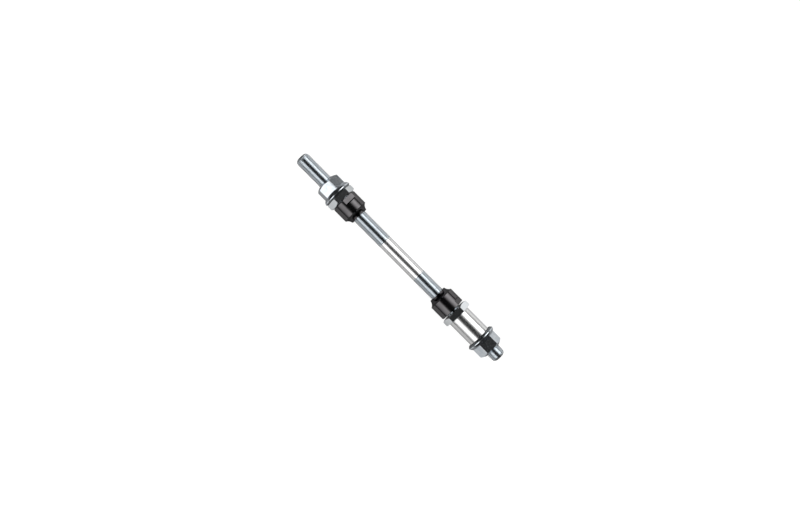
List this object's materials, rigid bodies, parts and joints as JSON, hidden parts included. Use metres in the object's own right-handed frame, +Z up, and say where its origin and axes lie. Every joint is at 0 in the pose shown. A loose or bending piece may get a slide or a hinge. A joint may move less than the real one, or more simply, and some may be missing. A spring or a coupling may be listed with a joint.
{
  "type": "rear hub axle",
  "caption": "Solid threaded bicycle rear hub axle with bearing cones, locknuts, a drive-side spacer and flanged axle nuts.",
  "frame": {"origin": "middle of the axle's length, on its centre line", "axes": "+Y along the axle towards the left end of the wheel, -Y towards the drive side with the spacer, +Z up, +X forwards"},
  "size_m": [0.0198, 0.175, 0.0198],
  "materials": {
    "axle_zinc": "steel with bright blue-white zinc plating, thread rolled, middle plain",
    "black_oxide": "hardened steel, black oxide, ground ball track",
    "locknut_zinc": "bright zinc plating",
    "nut_zinc": "bright blue-white zinc plating",
    "spacer_zinc": "polished steel tube, bright plating"
  },
  "bodies": {
    "axle": {"axle": "axle_zinc"},
    "left_cone": {"left_cone": "black_oxide"},
    "left_locknut": {"left_locknut": "locknut_zinc"},
    "left_axle_nut": {"left_axle_nut": "nut_zinc"},
    "right_cone": {"right_cone": "black_oxide"},
    "right_locknut": {"right_locknut": "locknut_zinc"},
    "right_spacer": {"right_spacer": "spacer_zinc"},
    "right_axle_nut": {"right_axle_nut": "nut_zinc"}
  },
  "joints": [
    {"name": "left_cone_travel", "type": "slide", "parent": "axle", "child": "left_cone", "axis": [0, -1, 0], "range_m": [0, 0.0217]},
    {"name": "left_locknut_travel", "type": "slide", "parent": "left_cone", "child": "left_locknut", "axis": [0, 1, 0], "range_m": [-0.00035, 0.037]},
    {"name": "left_axle_nut_travel", "type": "slide", "parent": "left_locknut", "child": "left_axle_nut", "axis": [0, 1, 0], "range_m": [0, 0.033]},
    {"name": "right_cone_travel", "type": "slide", "parent": "axle", "child": "right_cone", "axis": [0, 1, 0], "range_m": [0, 0.0157]},
    {"name": "right_locknut_travel", "type": "slide", "parent": "right_cone", "child": "right_locknut", "axis": [0, -1, 0], "range_m": [-0.00095, 0.04]},
    {"name": "right_spacer_travel", "type": "slide", "parent": "right_locknut", "child": "right_spacer", "axis": [0, -1, 0], "range_m": [0, 0.0355]},
    {"name": "right_axle_nut_travel", "type": "slide", "parent": "right_spacer", "child": "right_axle_nut", "axis": [0, -1, 0], "range_m": [0, 0.0172]}
  ]
}
